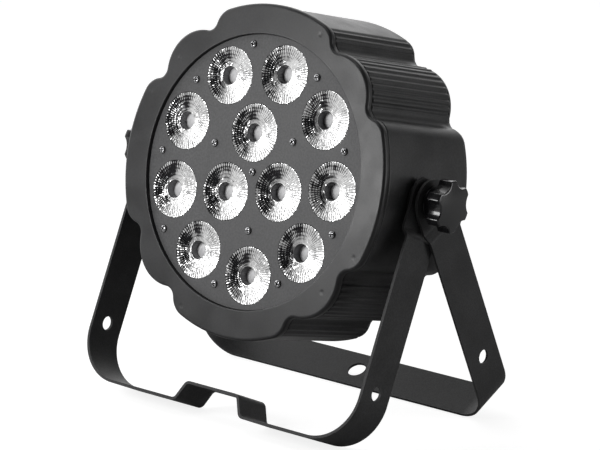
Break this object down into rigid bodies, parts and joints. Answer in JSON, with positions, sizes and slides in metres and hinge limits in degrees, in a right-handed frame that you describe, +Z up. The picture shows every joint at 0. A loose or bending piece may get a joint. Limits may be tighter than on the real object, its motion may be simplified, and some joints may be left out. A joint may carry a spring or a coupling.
{
  "type": "par can light",
  "caption": "Flat LED par light: scalloped ribbed housing, round face of clear lenses, double strip yoke used as floor stand or hanger, star knobs at both sides.",
  "frame": {"origin": "on the floor, under the middle of the whole light: centre of the bounding box in X and Y, at its lowest Z", "axes": "+X to the right seen from the front and along the tilt axis, -Y the way the beam points, +Z up"},
  "size_m": [0.3044, 0.1894, 0.3024],
  "materials": {
    "housing_plastic": "fine satin grain",
    "bezel_plastic": "fine satin grain",
    "plate_paint": "satin black paint",
    "lens_clear": "clear moulded optic",
    "screw_steel": "zinc plated",
    "board_white": "white solder mask",
    "heat_sink_aluminium": "milled",
    "driver_green": "green board",
    "cover_paint": "satin black paint",
    "panel_black": "gloss",
    "window_smoke": "smoked clear",
    "button_rubber": "satin",
    "socket_metal": "nickel",
    "socket_black": "moulded",
    "bright_steel": "zinc plated",
    "washer_black": "black oxide",
    "spacer_plastic": "nylon",
    "knob_gloss": "gloss",
    "yoke_powder_coat": "black powder coat"
  },
  "bodies": {
    "rear_yoke": {"rear_yoke": "yoke_powder_coat"},
    "front_yoke": {"front_yoke": "yoke_powder_coat"},
    "head": {"housing": "housing_plastic", "front_bezel": "bezel_plastic", "face_plate": "plate_paint", "lens_01": "lens_clear", "lens_02": "lens_clear", "lens_03": "lens_clear", "lens_04": "lens_clear", "lens_05": "lens_clear", "lens_06": "lens_clear", "lens_07": "lens_clear", "lens_08": "lens_clear", "lens_09": "lens_clear", "lens_10": "lens_clear", "lens_11": "lens_clear", "lens_12": "lens_clear", "face_screw_01": "screw_steel", "face_screw_02": "screw_steel", "face_screw_03": "screw_steel", "face_screw_04": "screw_steel", "face_screw_05": "screw_steel", "face_screw_06": "screw_steel", "face_screw_07": "screw_steel", "face_screw_08": "screw_steel", "face_screw_09": "screw_steel", "face_screw_10": "screw_steel", "face_screw_11": "screw_steel", "face_screw_12": "screw_steel", "face_screw_13": "screw_steel", "cover_screw_1": "screw_steel", "cover_screw_2": "screw_steel", "cover_screw_3": "screw_steel", "cover_screw_4": "screw_steel", "led_board": "board_white", "heat_sink": "heat_sink_aluminium", "driver_board": "driver_green", "rear_cover": "cover_paint", "control_panel": "panel_black", "display_window": "window_smoke", "dmx_in_socket": "socket_metal", "dmx_out_socket": "socket_black", "power_inlet": "socket_black", "power_outlet": "socket_black", "fuse_cap": "socket_black", "safety_eyelet": "bright_steel", "pivot_spacer_right": "spacer_plastic", "friction_washer_right": "spacer_plastic", "pivot_bolt_right": "bright_steel", "pivot_spacer_left": "spacer_plastic", "friction_washer_left": "spacer_plastic", "pivot_bolt_left": "bright_steel"},
    "knob_washer_right": {"knob_washer_right": "washer_black"},
    "knob_right": {"knob_right": "knob_gloss"},
    "knob_washer_left": {"knob_washer_left": "washer_black"},
    "knob_left": {"knob_left": "knob_gloss"},
    "menu_button_1": {"menu_button_1": "button_rubber"},
    "menu_button_2": {"menu_button_2": "button_rubber"},
    "menu_button_3": {"menu_button_3": "button_rubber"},
    "menu_button_4": {"menu_button_4": "button_rubber"}
  },
  "joints": [
    {"name": "head_tilt", "type": "hinge", "parent": "rear_yoke", "child": "head", "pos_m": [0, -0.00965, 0.17566], "axis": [1, 0, 0], "range_deg": [-78.7, 101.3]},
    {"name": "front_yoke_swing", "type": "hinge", "parent": "rear_yoke", "child": "front_yoke", "pos_m": [0, -0.00965, 0.17566], "axis": [1, 0, 0], "range_deg": [-80, 50]},
    {"name": "knob_washer_right_slide", "type": "slide", "parent": "head", "child": "knob_washer_right", "axis": [1, 0, 0], "range_m": [0, 0.00125]},
    {"name": "knob_right_turn", "type": "hinge", "parent": "knob_washer_right", "child": "knob_right", "pos_m": [0.14, -0.00965, 0.17566], "axis": [1, 0, 0], "range_deg": [0, 360]},
    {"name": "knob_washer_left_slide", "type": "slide", "parent": "head", "child": "knob_washer_left", "axis": [-1, 0, 0], "range_m": [0, 0.00125]},
    {"name": "knob_left_turn", "type": "hinge", "parent": "knob_washer_left", "child": "knob_left", "pos_m": [-0.14, -0.00965, 0.17566], "axis": [-1, 0, 0], "range_deg": [0, 360]},
    {"name": "menu_button_1_press", "type": "slide", "parent": "head", "child": "menu_button_1", "axis": [0, -0.9806, 0.1959], "range_m": [0, 0.0008], "stiffness_N_per_m": 900},
    {"name": "menu_button_2_press", "type": "slide", "parent": "head", "child": "menu_button_2", "axis": [0, -0.9806, 0.1959], "range_m": [0, 0.0008], "stiffness_N_per_m": 900},
    {"name": "menu_button_3_press", "type": "slide", "parent": "head", "child": "menu_button_3", "axis": [0, -0.9806, 0.1959], "range_m": [0, 0.0008], "stiffness_N_per_m": 900},
    {"name": "menu_button_4_press", "type": "slide", "parent": "head", "child": "menu_button_4", "axis": [0, -0.9806, 0.1959], "range_m": [0, 0.0008], "stiffness_N_per_m": 900}
  ],
  "couplings": [
    {"joint": "knob_right_turn", "follows": "knob_washer_right_slide", "rad_per_m": 5026.5},
    {"joint": "knob_left_turn", "follows": "knob_washer_left_slide", "rad_per_m": 5026.5}
  ]
}
